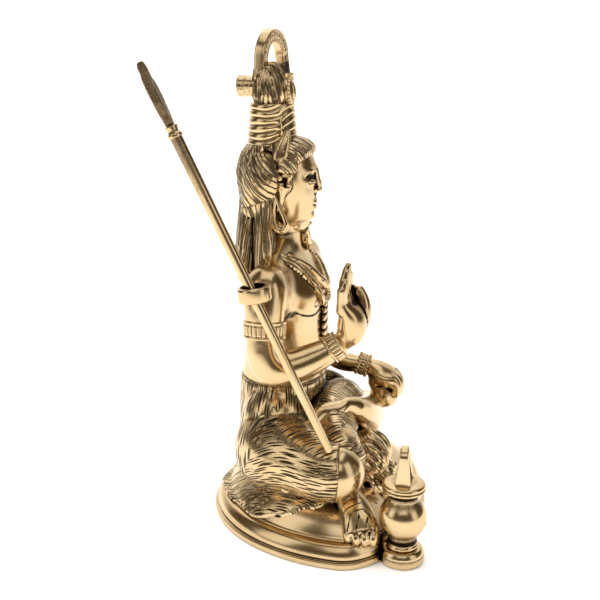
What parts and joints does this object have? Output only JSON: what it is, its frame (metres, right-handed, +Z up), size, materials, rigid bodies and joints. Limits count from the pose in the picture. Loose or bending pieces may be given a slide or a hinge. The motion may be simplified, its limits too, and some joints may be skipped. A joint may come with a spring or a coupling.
{
  "type": "shiva figure",
  "caption": "Cast brass seated figure on a tiger skin and plinth, right hand raised, with a trident that lifts out of a ring on the arm and a small water pot in front.",
  "frame": {"origin": "on the plinth's flat underside, straight below the figure's head", "axes": "+Z up, the figure looks along -Y, and its right side is at -X"},
  "size_m": [0.1266, 0.1247, 0.2311],
  "materials": {
    "plinth_brass": "polished cast brass, brown in the groove",
    "figure_brass": "polished cast brass, dark brown patina in the carving",
    "pot_brass": "polished cast brass, dark brown patina in the grooves",
    "trident_brass": "polished brass, brown patina on the head"
  },
  "bodies": {
    "root": {"plinth": "plinth_brass", "figure": "figure_brass", "water_pot": "pot_brass", "trident": "trident_brass"}
  },
  "joints": []
}
